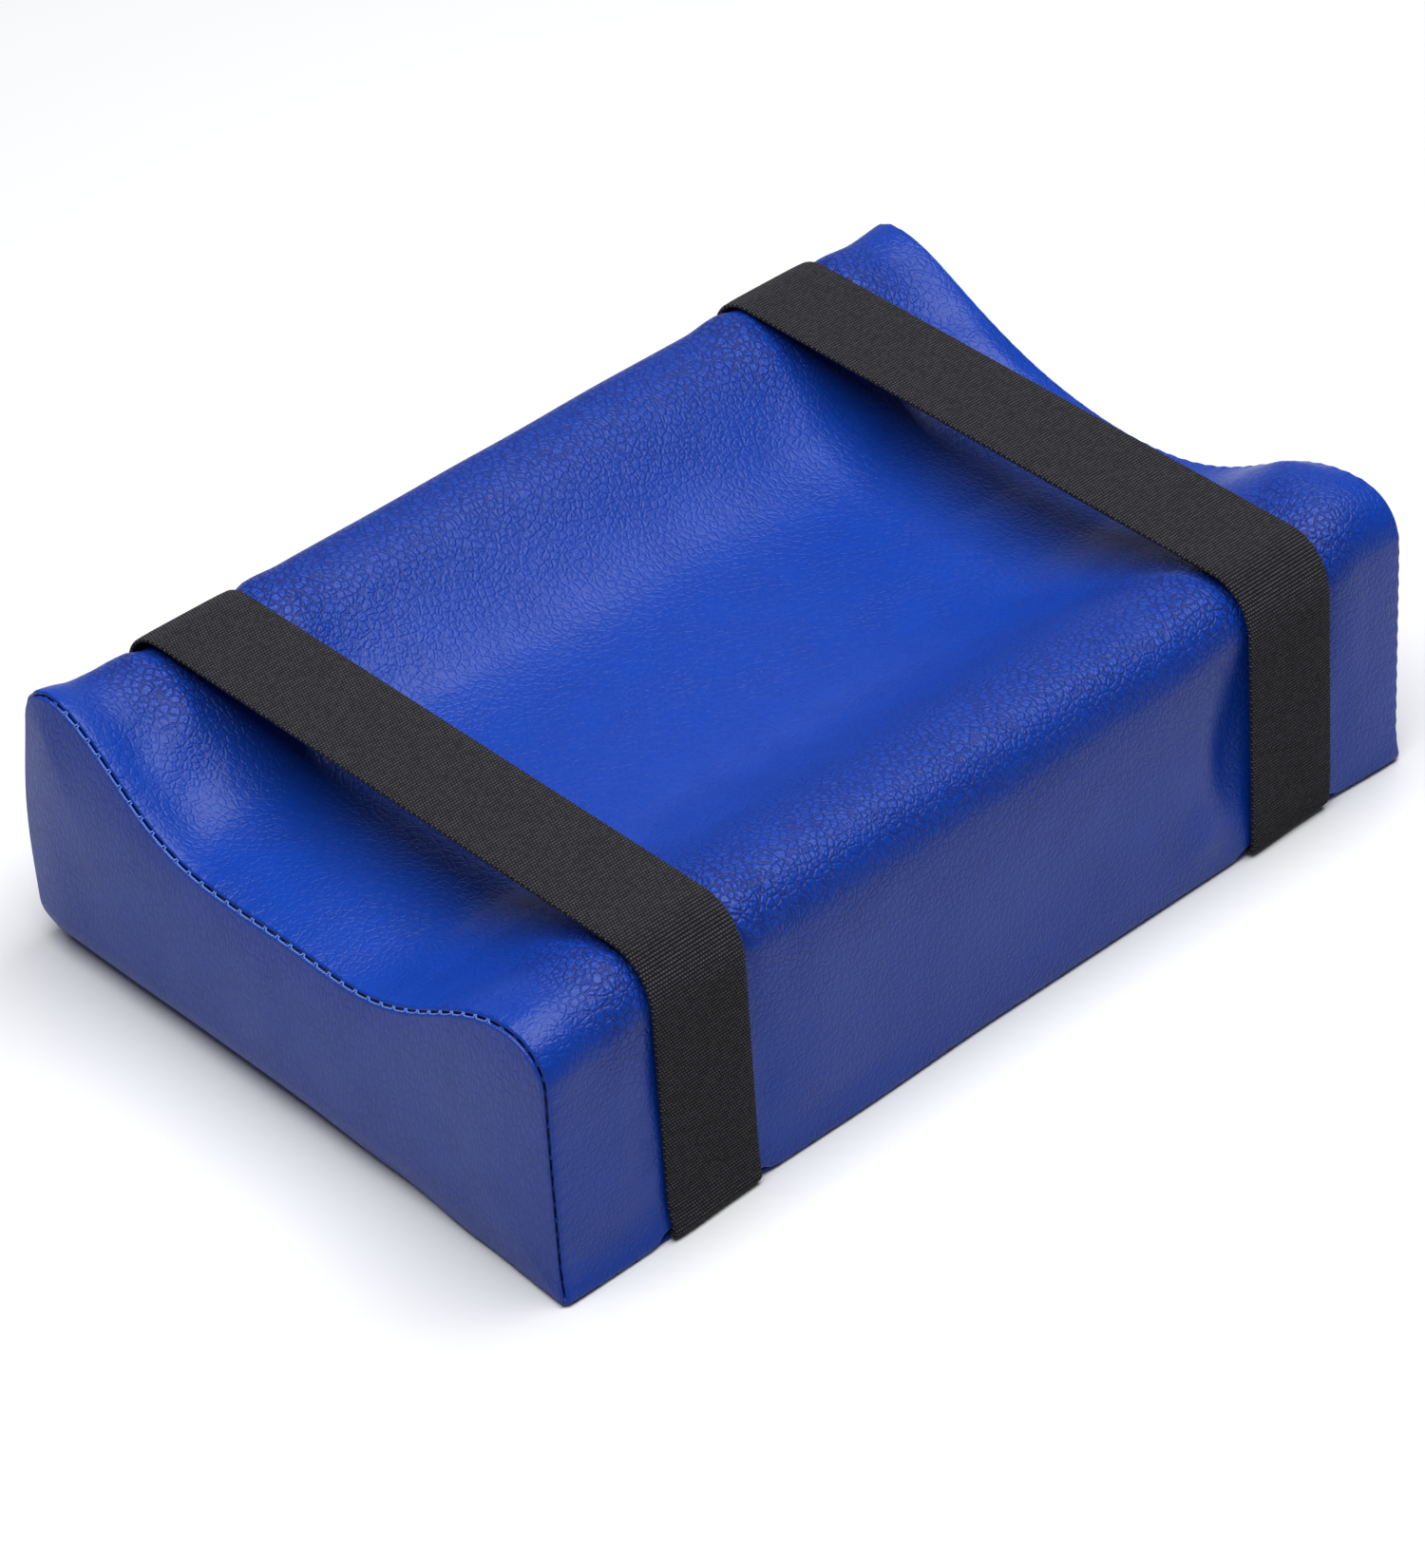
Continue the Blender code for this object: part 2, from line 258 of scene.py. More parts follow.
def strap_grip(x):
    """The flat pressed by each strap over the ridges, and the swelling beside it."""
    touching = smooth((np.abs(over) - 0.62) / 0.2) * smooth((1.75 - np.abs(over)) / 0.3)
    pressed = 0
    for middle in strap_x:
        flat = band(x, middle, webbing_width / 2, 4 * MM)
        swelling = band(x, middle, webbing_width / 2 + 6 * MM, 10 * MM) - flat
        pressed = pressed - 0.5 * MM * flat + 0.7 * MM * swelling
    return touching * pressed


def undulation(x):
    """The slow unevenness of hand-cut foam."""
    g = girth / MM
    waves = np.sin(x / MM / 17 + g / 29) * np.sin(g / 23 - x / MM / 41 + 1)
    waves += 0.6 * np.sin(x / MM / 11 - g / 19 + 2) * np.sin(g / 13 + x / MM / 31)
    return 0.22 * MM * waves


def hem_lift(x):
    """How far each strap's tail lifts the hem to pass under it."""
    lift = sum(band(x, middle, webbing_width / 2 + 0.5 * MM, 5 * MM) for middle in strap_x)
    return 2.0 * MM * lift * np.exp(-np.clip(z0 - lip_start, 0, None) / (5 * MM))


def outward(line):
    """Unit vectors out of a line of (y, z) points that runs from the front hem to the rear hem."""
    run = np.gradient(line, axis=0)
    out = np.stack([-run[:, 1], run[:, 0]], 1)
    return out / np.linalg.norm(out, axis=1)[:, None]


def pushes(x):
    total = strap_grip(x) + undulation(x)
    total = total + sum(dent(x, *each) for each in DENTS) + sum(fold(x, *each) for each in FOLDS)
    to_hem = np.minimum(girth - girth[0], girth[-1] - girth)
    held = smooth(to_hem / (14 * MM)) * (0.25 + 0.75 * smooth((end_x - abs(x)) / (9 * MM)))
    under_strap = sum(band(x, middle, webbing_width / 2 - 1 * MM, 3 * MM) for middle in strap_x)
    return held * np.where(total > 0, 1 - under_strap, 1) * total


settled_bulge = np.zeros((2, 2))


def bulge(x):
    """How far the foam has pushed out each point at x. It is nothing until the cover has settled."""
    rows, columns = settled_bulge.shape
    at_row = np.clip((x / end_x + 1) / 2, 0, 1) * (rows - 1)
    row = min(int(at_row), rows - 2)
    line = settled_bulge[row] + (at_row - row) * (settled_bulge[row + 1] - settled_bulge[row])
    return np.interp(np.linspace(0, columns - 1, SECTION_POINTS), np.arange(columns), line)


def over_block(x):
    """The (y, z) points of the cover's surface at x."""
    line = section + settled(x) + np.stack([0 * girth, hem_lift(x)], 1)
    return line + outward(line) * np.reshape(pushes(x) + bulge(x), (-1, 1))


print("deepest push left of the far strap:", round(float(pushes(DENTS[0][0][0] * MM).min()) / MM, 2), "mm")

# %% [markdown]
# ## The soft lower edge
# Foam has no sharp edges, so the block draws in just above the floor, most at its ends and its rear. Its
# front corners spread a little instead, under the weight of the front ridge. All the skins pass through
# the same small squeeze, and their seams stay together.

# %% Draw in the lower edge
EDGE_HEIGHT = 13 * MM
REAR_DRAW = 3.0 * MM
END_DRAW = [(-96, -1.2), (-67, 0.6), (-35, 3.4), (12, 6.0), (75, 6.0), (96, 7.0)]
FRONT_DRAW = [(-150, -2.6), (-115, -2.4), (-90, -1.2), (-55, -1.2), (0, 0.2), (90, 0.4), (112, 1.4),
              (150, -0.6)]


def drawn_in(points):
    """Points in metres, moved in towards the middle near the floor."""
    points = np.array(points, float)
    x, y, z = np.moveaxis(points, -1, 0)
    low = np.clip(1 - z / EDGE_HEIGHT, 0, 1) ** 2
    points[..., 0] -= np.sign(x) * along(y, END_DRAW) * low * smooth((np.abs(x) / end_x - 0.8) / 0.2)
    draw = np.where(y > 0, REAR_DRAW, along(x, FRONT_DRAW))
    points[..., 1] -= np.sign(y) * draw * low * smooth((np.abs(y) / face_y - 0.8) / 0.2)
    return points


print("the lower edge is drawn in by up to", END_DRAW[-1][1], "mm")

# %% [markdown]
# ## Making meshes from rows of points
# The cover, the end panels and the straps are all sheets: rows of points, joined by four-sided faces. One
# helper joins the rows. Each point also carries its place on the flat sheet in metres, as an attribute, so
# that a grain or a weave runs with the sheet and not through the air.

# %% Join rows of points
def grid_faces(rows, columns, closed):
    """Four-sided faces over a grid of points. closed joins the last column to the first."""
    first = np.arange(rows - 1)[:, None] * columns
    i = np.arange(columns if closed else columns - 1)[None, :]
    j = (i + 1) % columns
    return np.stack([first + i, first + j, first + columns + j, first + columns + i], -1).reshape(-1, 4)


def mesh_object(name, points, faces, **attributes):
    """A smooth-shaded object. Each attribute is a number or three numbers for each point."""
    mesh = bpy.data.meshes.new(name)
    points = drawn_in(np.reshape(points, (-1, 3)))
    mesh.from_pydata(points.tolist(), [], [list(map(int, face)) for face in faces])
    for label, values in attributes.items():
        values = np.asarray(values, float)
        vector = values.shape[-1] == 3 and values.size == 3 * len(mesh.vertices)
        layer = mesh.attributes.new(label, "FLOAT_VECTOR" if vector else "FLOAT", "POINT")
        layer.data.foreach_set("vector" if vector else "value", values.ravel())
    mesh.shade_smooth()
    made = bpy.data.objects.new(name, mesh)
    bpy.context.scene.collection.objects.link(made)
    return made


def thicken(piece, thickness):
    """Give a sheet its thickness on the inside, so that it is a closed body."""
    shell = piece.modifiers.new("Sheet thickness", "SOLIDIFY")
    shell.thickness = thickness
    shell.offset = -1


# %% [markdown]
# ## Let the cover settle
# A real cover is held only at its seams and under the straps. Everywhere else the foam presses it out until
# the sheet is tight. A coarse copy of the cover is pinned where the real one is held, and a cloth
# simulation presses it from the inside for a moment. Left free, the copy swells far more than a stuffed
# cover does, so only how far each point went outward is kept, squeezed down to less than a millimetre, and
# it is added to every point of the fine cover.

# %% Simulate the coarse cover
CLOTH_ROWS, CLOTH_COLUMNS = 61, 71
FOAM_PRESSURE = 4
LAST_FRAME = 20
MOST_BULGE = 0.9 * MM

cloth_x = np.linspace(-end_x, end_x, CLOTH_ROWS)
column = np.linspace(0, SECTION_POINTS - 1, CLOTH_COLUMNS).astype(int)
cloth_lines = [over_block(x) for x in cloth_x]
cloth_points = np.array([
    np.column_stack([np.full(CLOTH_COLUMNS, x), line[column]]) for x, line in zip(cloth_x, cloth_lines)
])
cloth_out = np.array([
    np.column_stack([np.zeros(CLOTH_COLUMNS), outward(line)[column]]) for line in cloth_lines
])
under_strap = sum(band(cloth_x, middle, webbing_width / 2, 3 * MM) for middle in strap_x)[:, None] > 0
pinned = under_strap & (np.abs(over[column]) > 0.6)
pinned[[0, -1], :] = True
pinned[:, [0, -1]] = True

cloth = mesh_object("cloth", cloth_points, grid_faces(CLOTH_ROWS, CLOTH_COLUMNS, False)[:, ::-1])
held = cloth.vertex_groups.new(name="held")
held.add(np.flatnonzero(pinned.ravel()).tolist(), 1.0, "REPLACE")
press = cloth.modifiers.new("Press", "CLOTH")
press.settings.use_pressure = True
press.settings.uniform_pressure_force = FOAM_PRESSURE
press.settings.vertex_group_mass = "held"
press.settings.effector_weights.gravity = 0
press.point_cache.frame_end = LAST_FRAME
for frame_number in range(1, LAST_FRAME + 1):
    bpy.context.scene.frame_set(frame_number)

# %% Read off the bulge and drop the cloth
before = np.array([point.co for point in cloth.data.vertices])
pressed = cloth.evaluated_get(bpy.context.evaluated_depsgraph_get()).data
after = np.array([point.co for point in pressed.vertices])
went = ((after - before).reshape(cloth_out.shape) * cloth_out).sum(-1)
print("the cloth went out by up to", round(float(went.max()) / MM, 2), "mm")
settled_bulge = MOST_BULGE * np.tanh(np.clip(went, 0, None) / (2 * MOST_BULGE))
settled_bulge[pinned] = 0
bpy.context.scene.frame_set(1)
bpy.data.objects.remove(cloth)
kept_most, kept_mean = (round(float(value) / MM, 2) for value in (settled_bulge.max(), settled_bulge.mean()))
print("kept", kept_most, "mm at most, and", kept_mean, "on average")

# %% [markdown]
# ## The cover
# The cover's rows run across the block. They are close together near both ends, where the lips and the
# small puckers of the stitches are, and wider apart in the middle. In the lips a point is moved in from
# the surface by the depth that its pair gives, and in a corner by both depths together.

# %% Lay out the rows and columns of the cover
MIDDLE_ROWS = 150
lip = rolled_lip()
reach = end_x - lip_start
even = np.linspace(-1, 1, MIDDLE_ROWS)
middle_x = reach * (0.8 * even + 0.2 * np.sin(np.pi / 2 * even) ** 3)
row_x = np.concatenate([lip[:0:-1, 0] - end_x, middle_x, end_x - lip[1:, 0]])
row_depth = np.concatenate([lip[:0:-1, 1], 0 * middle_x, lip[1:, 1]])
column_depth = np.concatenate([lip[:0:-1, 1], 0 * girth, lip[1:, 1]])
print(len(row_x), "rows of", len(column_depth), "points")


# %% Build the cover
STITCH_PITCH = 4.6 * MM
PUCKER = 0.14 * MM


def with_hems(line, out):
    """The line and its outward directions, with the points of both hem lips added, still on the faces."""
    front, rear = line[0] - line[1], line[-1] - line[-2]
    front, rear = front / -front[1], rear / -rear[1]
    drop = (lip_start - lip[1:, 0])[:, None]
    longer = np.vstack([line[0] + drop[::-1] * front, line, line[-1] + drop * rear])
    more = np.ones((len(drop), 1))
    return longer, np.vstack([more * out[0], out, more * out[-1]])


def pucker(x):
    """Small gathers between the stitches of an end seam."""
    near_seam = np.exp(-max(end_x - lip_start - abs(x), 0) / (2.5 * MM))
    return PUCKER * near_seam * np.cos(2 * np.pi * girth / STITCH_PITCH)


def cover_row(x, depth):
    line = over_block(x)
    line, out = with_hems(line + outward(line) * pucker(x)[:, None], outward(line))
    return line - out * np.hypot(depth, column_depth)[:, None]


cover_points = np.array([
    np.column_stack([np.full(len(column_depth), x), cover_row(x, depth)])
    for x, depth in zip(row_x, row_depth)
])
column_girth = np.concatenate([girth[0] - lip[:0:-1, 1], girth, girth[-1] + lip[1:, 1]])
flat_sheet = np.stack(np.broadcast_arrays(row_x[:, None], column_girth[None, :], 0.0), -1)


def pebble_size(x, g):
    """How coarse the grain looks: stretched flat in the trough and at the seams, coarse over the ridges."""
    crest = np.where(g < 0, crest_girth[0], crest_girth[1])
    ridge = np.exp(-(((g - crest) / (26 * MM)) ** 2))
    beside = sum(band(x, middle, webbing_width / 2 + 4 * MM, 22 * MM) for middle in strap_x)
    away = smooth((end_x - np.abs(x)) / (30 * MM))
    return np.clip(0.20 + 0.60 * ridge * away + 0.25 * beside * ridge, 0, 1)


cover = mesh_object(
    "cover", cover_points, grid_faces(len(row_x), len(column_depth), False)[:, ::-1],
    sheet=flat_sheet, pebble=pebble_size(flat_sheet[..., 0], flat_sheet[..., 1]),
)
thicken(cover, SHEET)
print("the cover has", len(cover.data.polygons), "faces")

# %% [markdown]
# ## The end panels
# An end panel is cut to the block's section and sewn in all round. Its rim is a ring of rows that follows
# the outline, and inside it four curves (base, two faces, top) are filled by blending them, which gives
# long even rows without a pole in the middle. Air and foam puff it out a little.

# %% Helpers for a closed outline
CORNER_FADE = 25 * MM


def end_outline(side):
    """(points, inward directions) round the block at one end, from the front base corner over the top."""
    line = over_block(side * end_x)
    front = [line[0][0] - (line[1][0] - line[0][0]) * line[0][1] / (line[1][1] - line[0][1]), 0]
    rear = [line[-1][0] - (line[-2][0] - line[-1][0]) * line[-1][1] / (line[-2][1] - line[-1][1]), 0]
    base_y = np.linspace(rear[0], front[0], BASE_POINTS + 2)[1:-1]
    points = np.vstack([front, line, rear, np.stack([base_y, 0 * base_y], 1)])
    normals = outward(line)
    inward = -np.vstack([normals[:1], normals, normals[-1:], np.tile([0, -1], (BASE_POINTS, 1))])
    on_base = np.arange(len(points)) > len(line) + 1
    from_corner = np.where(on_base, face_y - np.abs(points[:, 0]), points[:, 1])
    turned = np.where(on_base[:, None], np.stack([-np.sign(points[:, 0]), 0 * points[:, 0]], 1), [[0, 1]])
    return points, inward + turned * np.clip(1 - from_corner / CORNER_FADE, 0, 1)[:, None]


def shares(first, second):
    """How far along each pair of points is, from 0 to 1, as the mean of two lines."""
    return sum(run_length(line) / run_length(line)[-1] for line in (first, second)) / 2


def fill_four(bottom, top, left, right):
    """Points between four curves that meet at their ends, blended from all of them."""
    u = shares(bottom, top)[None, :, None]
    v = shares(left, right)[:, None, None]
    up = (1 - v) * bottom[None] + v * top[None]
    side = (1 - u) * left[:, None] + u * right[:, None]
    corners = (1 - u) * (1 - v) * bottom[0] + u * (1 - v) * bottom[-1]
    corners = corners + (1 - u) * v * top[0] + u * v * top[-1]
    return up + side - corners


# %% Build the end panels
FACE_POINTS = int(np.searchsorted(y0, -front_crest_y - FRONT_SHOULDER * 0.7))
BASE_POINTS = SECTION_POINTS - 2 * FACE_POINTS
RIM_STEPS = np.array([1.2, 2.6, 4.2, 6.0]) * MM
PUFF = 2.2 * MM


def panel_puff(points, edge, side):
    """How far the panel stands out, from each point's distance to its edge."""
    gap = np.array([np.linalg.norm(edge - point, axis=1).min() for point in points])
    y, z = points.T / MM
    soft = 1 - np.exp(-gap / (10 * MM))
    ear = np.exp(-(((y - 84) / 16) ** 2) - ((z - 60) / 18) ** 2)
    waves = 0.25 * np.sin(y / 9 + np.sin(z / 14)) * np.sin(z / 31 + y / 23)
    waves += 0.12 * np.sin(y / 4.3 + np.sin(z / 9) * 0.8) * smooth(gap / (12 * MM))
    return soft * (PUFF + (1.4 * ear + waves) * MM)


def end_panel(name, side):
    outline, inward = end_outline(side)
    edge = outline + inward * lip_start
    rim_pairs = [(inset, depth) for depth, inset in lip[::-1]] + [(0, lip_start + step) for step in RIM_STEPS]
    rings = [(inset, outline + inward * depth) for inset, depth in rim_pairs]
    inner = rings[-1][1]
    rear_corner = SECTION_POINTS + 1
    top = inner[FACE_POINTS:rear_corner - FACE_POINTS + 1]
    left, right = inner[:FACE_POINTS + 1], inner[rear_corner - FACE_POINTS:rear_corner + 1][::-1]
    bottom = np.vstack([inner[:1], inner[:rear_corner:-1], inner[rear_corner:rear_corner + 1]])
    middle = fill_four(bottom, top, left, right)
    flat = np.vstack([ring for _, ring in rings] + [middle.reshape(-1, 2)])
    rim_depth = [np.full(len(outline), inset) for inset, _ in rings]
    depth_in = np.concatenate(rim_depth + [np.zeros(middle[..., 0].size)])
    puff = np.where(depth_in == 0, panel_puff(flat, edge, side), 0)
    points = np.column_stack([side * (end_x - depth_in + puff), flat])
    rim = grid_faces(len(rings), len(outline), True)
    inside = grid_faces(*middle.shape[:2], False) + len(rings) * len(outline)
    faces = np.vstack([rim, inside[:, ::-1]])
    made = mesh_object(
        name, points, faces if side < 0 else faces[:, ::-1],
        sheet=np.column_stack([flat, 0 * depth_in]), pebble=0.45 + 0 * depth_in,
    )
    weld = made.modifiers.new("Join rim and middle", "WELD")
    weld.merge_threshold = 0.00001
    thicken(made, SHEET)
    return made


end_panels = [end_panel("left_end", -1), end_panel("right_end", 1)]
print("an end panel has", len(end_panels[0].data.polygons), "faces")

# %% [markdown]
# ## The base panel
# The base is the only flat panel, because the block stands on it. It is cut as a rectangle with small round
# corners and has the same lip all round, which meets the hems of the cover and the ends.

# %% Build the base panel
CORNER_RADIUS = 4 * MM
CORNER_STEPS = 6
LONG_SIDE_STEPS, SHORT_SIDE_STEPS = 100, 66
BASE_RINGS = 14


def base_ring(inset, height):
    """A rectangle with round corners, moved in from the block's edge, counter-clockwise from above."""
    radius = max(CORNER_RADIUS - inset, 0.3 * MM)
    middle_x, middle_y = end_x - inset - radius, face_y - inset - radius
    ring = []
    for quarter, (sx, sy) in enumerate(((1, 1), (-1, 1), (-1, -1), (1, -1))):
        for turn in np.radians(90 * quarter + np.linspace(0, 90, CORNER_STEPS)):
            x = sx * middle_x + radius * math.cos(turn)
            y = sy * middle_y + radius * math.sin(turn)
            ring.append((x, y, height))
    in_corner = [2] * (CORNER_STEPS - 1)
    counts = (in_corner + [LONG_SIDE_STEPS] + in_corner + [SHORT_SIDE_STEPS]) * 2
    sides = zip(ring, ring[1:] + ring[:1], counts)
    return np.vstack([even_steps(np.array([a, b]), count)[0][:-1] for a, b, count in sides])


inner_steps = lip_start + np.linspace(0, face_y - 2 * CORNER_RADIUS, BASE_RINGS)[1:]
base_rings = [base_ring(*pair) for pair in lip[::-1]] + [base_ring(inset, 0) for inset in inner_steps]
base_points = np.array(base_rings)
base_faces = grid_faces(*base_points.shape[:2], True)[:, ::-1].tolist()
last_ring = len(base_points[0]) * (len(base_rings) - 1) + np.arange(len(base_points[0]))
base_faces.append(last_ring[::-1])
base = mesh_object(
    "base", base_points, base_faces, sheet=base_points * [1, 1, 0], pebble=0 * base_points[..., 0] + 0.2,
)
thicken(base, SHEET)
print("the base has", len(base.data.polygons), "faces")

# %% [markdown]
# ## The foam
# The foam can't be seen, but it is a piece of its own and it fills the cover. It is the cover's own section
# moved in by the sheet's thickness, with its edges cut off where the seam allowances lie.

# %% Build the foam core
FOAM_CLEARANCE = 0.5 * MM
ALLOWANCE_ROOM = 5 * MM
FOAM_ROWS = 90


def foam_loop(x, depth):
    """A closed loop: the section moved in by a depth, closed along the underside."""
    line = over_block(x)
    inner = (line - outward(line) * depth)[z0 > ALLOWANCE_ROOM + depth]
    floor = SHEET + FOAM_CLEARANCE + max(depth - foam_depth, 0)
    foot = [[inner[-1, 0] - ALLOWANCE_ROOM, floor], [inner[0, 0] + ALLOWANCE_ROOM, floor]]
    loop = np.vstack([inner, foot])
    return np.column_stack([np.full(len(loop), x), loop])


foam_depth = SHEET + FOAM_CLEARANCE
foam_end = end_x - SHEET - FOAM_CLEARANCE
foam_x = np.linspace(-foam_end + ALLOWANCE_ROOM, foam_end - ALLOWANCE_ROOM, FOAM_ROWS)
loops = [foam_loop(x, foam_depth) for x in foam_x]


def shrunk(loop, x):
    """The same loop, moved in all round and placed further along the block."""
    middle = np.array([x, 0, 0.5 * crest_z])
    return (loop - middle) * [0, 1 - ALLOWANCE_ROOM / face_y, 1 - 2 * ALLOWANCE_ROOM / crest_z] + middle


loops = [shrunk(loops[0], -foam_end)] + loops + [shrunk(loops[-1], foam_end)]
foam_points = np.array(loops)
foam_faces = grid_faces(*foam_points.shape[:2], True)[:, ::-1].tolist()
loop_length = foam_points.shape[1]
foam_faces += [np.arange(loop_length), np.arange(loop_length)[::-1] + loop_length * (len(loops) - 1)]
foam = mesh_object("foam", foam_points, foam_faces)
print("the foam has", len(foam.data.polygons), "faces")

# %% [markdown]
# ## The elastic straps
# A strap is pulled tight from hem to hem, so in the trough it runs straight from ridge to ridge, like the
# taut string round a shape. It is stiff and lifts off a little where it bends. Its ends turn in under the
# hem, between the seam allowances. The webbing has close cross ribs, made by the thick weft, and they are
# real shape here because they show at the bends. A strap is made as two halves that reach into each other
# at the middle of the span.

# %% Find the line of a taut strap
STRAP_CLEARANCE = 0.25 * MM
FRONT_LIFT, REAR_LIFT = 1.6 * MM, 0.5 * MM
OVERLAP = 2
TAIL_BEND = 0.95 * MM
TAIL_LENGTH = 2.4 * MM
TAIL_RISE = 2.414
RIB_PITCH = 0.9 * MM
RIB_STEPS = 3


def taut(points):
    """The upper hull of points that run from left to right."""
    hull = []
    for point in points:
        while len(hull) > 1:
            (ay, az), (by, bz) = hull[-1] - hull[-2], point - hull[-2]
            if ay * bz - az * by < 0:
                break
            hull.pop()
        hull.append(point)
    return np.array(hull)


def strap_tail(first, side):
    """Down from the last free point, round the hem's lip and up between the seam allowances."""
    level = TAIL_RISE * TAIL_BEND - 0.05 * MM
    turn = np.radians(np.linspace(0, 135, 12))[:, None]
    middle = np.array([abs(first[0]) - TAIL_BEND, level])
    bend = middle + TAIL_BEND * np.hstack([np.cos(turn), -np.sin(turn)])
    tail = np.vstack([bend, bend[-1] + TAIL_LENGTH * np.array([-1, 1]) * math.sqrt(0.5)])
    return tail * [side, 1]


def strap_line(middle, side):
    """Even points from the middle of the span to the end of one tail."""
    line = over_block(middle)
    stiff = (np.where(over < 0, FRONT_LIFT, REAR_LIFT) * band(np.abs(over), 0.97, 0.08, 0.2))[:, None]
    bridge = taut(line + outward(line) * (STRAP_CLEARANCE + webbing_thickness / 2 + stiff))
    if side < 0:
        bridge = bridge[::-1]
    centre_z = np.interp(0, bridge[:, 0] * side, bridge[:, 1])
    leg = bridge[bridge[:, 0] * side > 0]
    whole = np.vstack([[0, centre_z], leg, strap_tail(leg[-1], side)])
    even = even_steps(whole, int(run_length(whole)[-1] / RIB_PITCH * RIB_STEPS))[0]
    for _ in range(2):
        even[3:-3] = np.mean([even[k:len(even) - 6 + k] for k in range(7)], axis=0)
    into_other_half = even[0] - np.arange(OVERLAP, 0, -1)[:, None] * (even[1] - even[0])
    return np.vstack([into_other_half, even])


print("a strap's front half has", len(strap_line(strap_x[0], -1)), "points")


# %% Weave a strap round its line
def webbing_section():
    """(across, up) pairs round flat webbing with thin soft edges."""
    half, thick = webbing_width / 2, webbing_thickness / 2
    across = half * np.sin(np.linspace(-1, 1, 9) * math.radians(75)) / math.sin(math.radians(75)) * 0.97
    top = np.column_stack([across, thick * (1 - 0.25 * (np.abs(across) / half) ** 6)])
    edge = [[half * 0.995, thick * 0.4], [half, 0], [half * 0.995, -thick * 0.4]]
    return np.vstack([top, edge, top[::-1] * [1, -1], np.multiply(edge[::-1], [-1, 1])])


def strap_half(name, middle, side):
    line = strap_line(middle, side)
    run = np.gradient(line, axis=0)
    out = np.stack([-run[:, 1], run[:, 0]], 1) * side
    out /= np.linalg.norm(out, axis=1)[:, None]
    ring = webbing_section()
    step = np.arange(len(line)) - OVERLAP
    rib = np.cos(2 * np.pi * step / RIB_STEPS)
    sunk = np.select([step < -1, step < 0], [0.6, 0.96], 1.0)
    up = ring[None, :, 1] * ((1 + 0.13 * rib) * sunk)[:, None]
    across = ring[None, :, 0] + 0.09 * MM * rib[:, None] * (ring[None, :, 0] / (webbing_width / 2)) ** 9
    points = np.empty((len(line), len(ring), 3))
    points[..., 0] = middle + across
    points[..., 1:] = line[:, None, :] + out[:, None, :] * up[..., None]
    count = len(ring)
    faces = grid_faces(len(line), count, True)
    faces = (faces if side > 0 else faces[:, ::-1]).tolist()
    caps = [np.arange(count)[::side], (np.arange(count) + count * (len(line) - 1))[::-side]]
    gone = step[:, None] * RIB_PITCH / RIB_STEPS
    weave = np.stack(np.broadcast_arrays(ring[None, :, 0], gone, 0.0), -1)
    made = mesh_object(name, points, faces + caps, weave=weave)
    made.data.set_sharp_from_angle(angle=math.radians(70))
    return made


straps = {}
for strap, middle in zip(("left", "right"), strap_x):
    for half_name, side in (("front", -1), ("rear", 1)):
        straps[strap, half_name] = strap_half(f"{strap}_strap_{half_name}", middle, side)
print("a strap half has", len(straps["left", "front"].data.polygons), "faces")

# %% [markdown]
# ## The stitching
# Each stitch lies along the panel's lip and dives across the groove at both ends, so the groove shows as a
# row of short dark slots between thread bridges. One stitch is a bent thread, and a seam is that stitch
# at every step along the edge. In the trough the seam is pulled open and the thread shows. Over the ridges
# and down the faces it is tight, and the stitches sink into the groove.

# %% Sweep a thread along a bent line
THREAD_SIDES = 7
THREAD_RADIUS = 0.24 * MM
STITCH_POINTS = 11


def thread_stitch(path, radius):
    """Points and faces of a thread with round ends along a short line of points."""
    path, _ = even_steps(np.array(path), STITCH_POINTS)
    run = np.gradient(path, axis=0)
    run /= np.linalg.norm(run, axis=1)[:, None]
    side = np.cross(run, path[STITCH_POINTS // 2] - path[0] + [1e-6, 2e-6, 3e-6])
    side /= np.linalg.norm(side, axis=1)[:, None] + 1e-12
    for k in range(1, len(side)):
        if side[k] @ side[k - 1] < 0:
            side[k] = -side[k]
    up = np.cross(run, side)
    turn = np.linspace(0, 2 * np.pi, THREAD_SIDES, endpoint=False)
    width = radius * np.array([0.6] + [1] * (len(path) - 2) + [0.6])
    ring = np.cos(turn)[None, :, None] * side[:, None] + np.sin(turn)[None, :, None] * up[:, None]
    points = path[:, None] + ring * width[:, None, None]
    faces = grid_faces(len(path), THREAD_SIDES, True).tolist()
    count = points.shape[0] * THREAD_SIDES
    caps = [list(range(THREAD_SIDES))[::-1], list(range(count - THREAD_SIDES, count))]
    return points.reshape(-1, 3), faces + caps


# %% Sew a seam
STITCH_GAP = 0.5 * MM


def staple_path(at):
    """One stitch seen from the corner: along the seam, distance in from the corner, depth."""
    half = (STITCH_PITCH - STITCH_GAP) / 2
    return [
        (at - half, lip_apart + 0.35 * MM, lip_apart * 0.75),
        (at - half, lip_apart * 0.8, lip_apart * 0.45),
        (at - half * 0.88, LIP_RADIUS * 0.72, lip_apart * 0.93),
        (at + half * 0.88, LIP_RADIUS * 0.72, lip_apart * 0.93),
        (at + half, lip_apart * 0.8, lip_apart * 0.45),
        (at + half, lip_apart + 0.35 * MM, lip_apart * 0.75),
    ]


